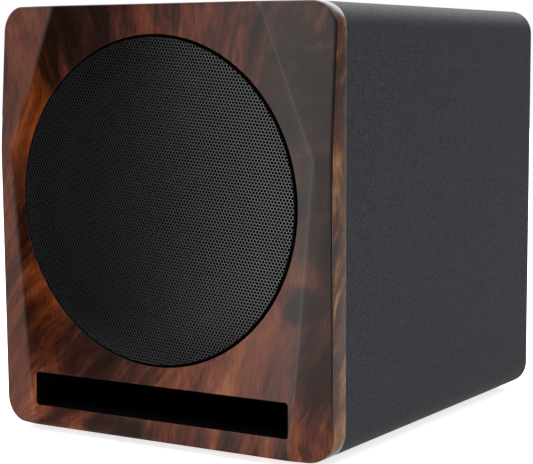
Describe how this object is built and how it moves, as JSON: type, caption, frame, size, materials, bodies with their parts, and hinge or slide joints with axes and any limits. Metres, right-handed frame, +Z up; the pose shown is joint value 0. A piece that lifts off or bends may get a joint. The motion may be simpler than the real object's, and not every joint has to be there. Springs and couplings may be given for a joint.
{
  "type": "subwoofer",
  "caption": "Active subwoofer: gloss wood fascia with a round perforated grille and slot port on a black rounded box, with a rear amplifier panel.",
  "frame": {"origin": "centre of the footprint at the bottom of the feet, half way between the grille's crown and the knobs' ends", "axes": "+X to the right seen from the front, +Y from the grille to the amplifier panel, +Z up"},
  "size_m": [0.339, 0.4182, 0.376],
  "materials": {
    "rosewood_veneer": "high gloss lacquer over dark figured rosewood veneer",
    "vinyl_wrap": "textured black vinyl",
    "mdf": "raw fibreboard",
    "grille_steel": "satin black powder coat",
    "black_plastic": "satin moulded",
    "basket_metal": "black textured coat",
    "surround_rubber": "matte",
    "cone_paper": "coated pulp",
    "former_aluminium": "thin sheet",
    "winding_copper": "enamelled round wire",
    "spider_cloth": "resin treated cotton",
    "zinc_steel": "zinc plated",
    "ferrite": "ground ferrite",
    "screw_steel": "black oxide",
    "brass_contact": "plated",
    "plate_paint": "fine texture black powder coat",
    "housing_steel": "galvanised sheet",
    "circuit_board": "green solder mask",
    "transformer_tape": "yellow polyester tape",
    "capacitor_sleeve": "shrink sleeve",
    "heatsink_aluminium": "extruded",
    "foot_rubber": "matte moulded",
    "wadding": "polyester fibre",
    "led_lens": "clear blue",
    "wire_red": "pvc insulation",
    "wire_black": "pvc insulation",
    "foam_gasket": "closed cell foam"
  },
  "bodies": {
    "cabinet": {"front_fascia": "rosewood_veneer", "left_panel": "mdf", "right_panel": "mdf", "top_panel": "mdf", "bottom_panel": "mdf", "back_panel": "vinyl_wrap", "inner_baffle": "mdf", "vinyl_wrap": "vinyl_wrap", "window_brace": "mdf", "port_shelf": "mdf", "port_side_spacers": "mdf", "acoustic_wadding": "wadding", "rubber_feet": "foot_rubber", "feet_screws": "screw_steel", "grille": "grille_steel", "grille_ring": "black_plastic", "woofer_basket": "basket_metal", "basket_gasket": "foam_gasket", "surround": "surround_rubber", "spider": "spider_cloth", "magnet_top_plate": "zinc_steel", "ferrite_magnet": "ferrite", "pole_plate": "zinc_steel", "terminal_strip": "brass_contact", "tinsel_leads": "winding_copper", "woofer_screws": "screw_steel", "speaker_wire_red": "wire_red", "speaker_wire_black": "wire_black", "amp_plate": "plate_paint", "amp_plate_screws": "screw_steel", "amp_housing": "housing_steel", "toroidal_transformer": "transformer_tape", "transformer_clamp": "zinc_steel", "amplifier_board": "circuit_board", "input_board": "circuit_board", "reservoir_capacitors": "capacitor_sleeve", "heatsink": "heatsink_aluminium", "output_transistors": "black_plastic", "potentiometers": "zinc_steel", "phase_switch_case": "zinc_steel", "status_led": "led_lens", "input_sockets": "black_plastic", "output_sockets": "black_plastic", "output_pins": "brass_contact", "mains_inlet": "black_plastic", "inlet_blades": "brass_contact", "switch_case": "black_plastic"},
    "cone_assembly": {"cone": "cone_paper", "dust_cap": "cone_paper", "voice_coil_former": "former_aluminium", "voice_coil_winding": "winding_copper"},
    "level_control": {"level_knob": "black_plastic", "level_spindle": "zinc_steel"},
    "crossover_control": {"crossover_knob": "black_plastic", "crossover_spindle": "zinc_steel"},
    "power_rocker": {"power_rocker": "black_plastic"},
    "phase_switch": {"phase_switch": "black_plastic"},
    "input_left_latch": {"input_left_latch": "zinc_steel"},
    "input_right_latch": {"input_right_latch": "zinc_steel"},
    "fuse_drawer": {"fuse_drawer": "black_plastic"}
  },
  "joints": [
    {"name": "cone_travel", "type": "slide", "parent": "cabinet", "child": "cone_assembly", "axis": [0, -1, 0], "range_m": [-0.008, 0.008], "stiffness_N_per_m": 4000, "deforming": ["surround", "spider", "tinsel_leads"]},
    {"name": "level_turn", "type": "hinge", "parent": "cabinet", "child": "level_control", "pos_m": [0.06, 0.2026, 0.291], "axis": [0, 1, 0], "range_deg": [-140, 140]},
    {"name": "crossover_turn", "type": "hinge", "parent": "cabinet", "child": "crossover_control", "pos_m": [0.015, 0.2026, 0.291], "axis": [0, 1, 0], "range_deg": [-140, 140]},
    {"name": "power_rocker_tip", "type": "hinge", "parent": "cabinet", "child": "power_rocker", "pos_m": [0.008, 0.1934, 0.118], "axis": [1, 0, 0], "range_deg": [-16, 0]},
    {"name": "phase_slide", "type": "slide", "parent": "cabinet", "child": "phase_switch", "axis": [1, 0, 0], "range_m": [0, 0.004]},
    {"name": "input_left_latch_press", "type": "slide", "parent": "cabinet", "child": "input_left_latch", "axis": [0, 0, -1], "range_m": [0, 0.0015], "stiffness_N_per_m": 700},
    {"name": "input_right_latch_press", "type": "slide", "parent": "cabinet", "child": "input_right_latch", "axis": [0, 0, -1], "range_m": [0, 0.0015], "stiffness_N_per_m": 700},
    {"name": "fuse_drawer_pull", "type": "slide", "parent": "cabinet", "child": "fuse_drawer", "axis": [0, 1, 0], "range_m": [0, 0.016]}
  ]
}
